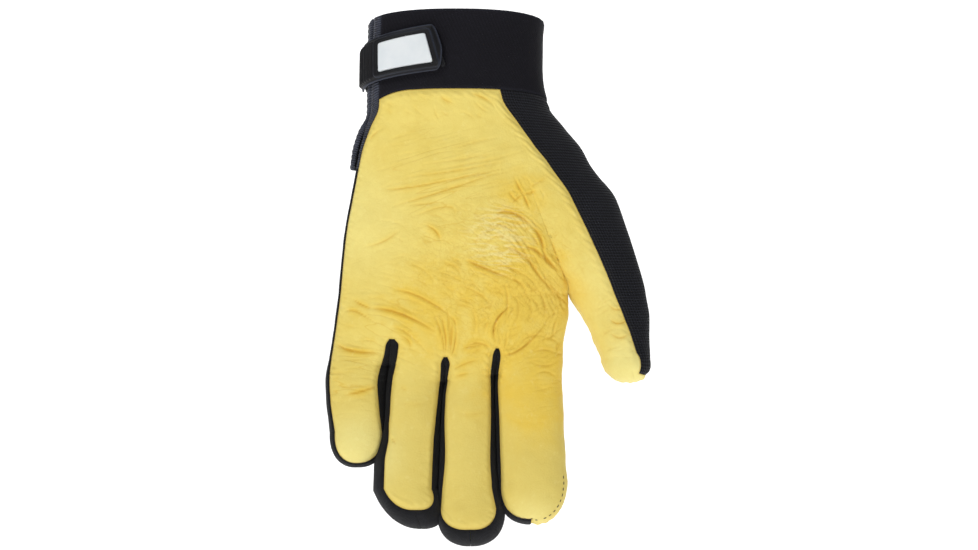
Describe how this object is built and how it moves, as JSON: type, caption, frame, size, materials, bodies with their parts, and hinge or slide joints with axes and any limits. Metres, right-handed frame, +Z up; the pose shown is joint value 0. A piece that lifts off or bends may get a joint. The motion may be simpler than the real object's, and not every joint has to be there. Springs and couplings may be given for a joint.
{
  "type": "mechanic glove",
  "caption": "Left work glove with yellow leather palm and fingertips, black knit back, black finger sides, stretch cuff with side vent, and a strap with a moulded pull tab.",
  "frame": {"origin": "centre of the wrist opening at the cuff's edge", "axes": "+Z up out of the wrist opening, fingers towards -Z, palm towards -Y, thumb towards +X"},
  "size_m": [0.1479, 0.0535, 0.241],
  "materials": {
    "leather": "soft grained, yellow, lightly creased",
    "knit": "ribbed black mesh knit",
    "side": "plain black knit between the fingers",
    "cuff": "smooth black stretch cloth",
    "tape": "ribbed black binding tape",
    "strap": "black fastening cloth",
    "rubber": "satin black, moulded",
    "plate": "plain white, satin"
  },
  "bodies": {
    "root": {"palm_leather": "leather", "back_knit": "knit", "side_gusset_little": "side", "fourchette_little_ring": "side", "fourchette_ring_middle": "side", "fourchette_middle_index": "side", "fingertip_little": "leather", "fingertip_ring": "leather", "fingertip_middle": "leather", "fingertip_index": "leather", "fingertip_thumb": "leather", "cuff_band": "cuff", "vent_binding_front": "tape", "vent_binding_back": "tape", "closure_strap": "strap", "pull_tab": "rubber", "tab_plate": "plate"}
  },
  "joints": []
}
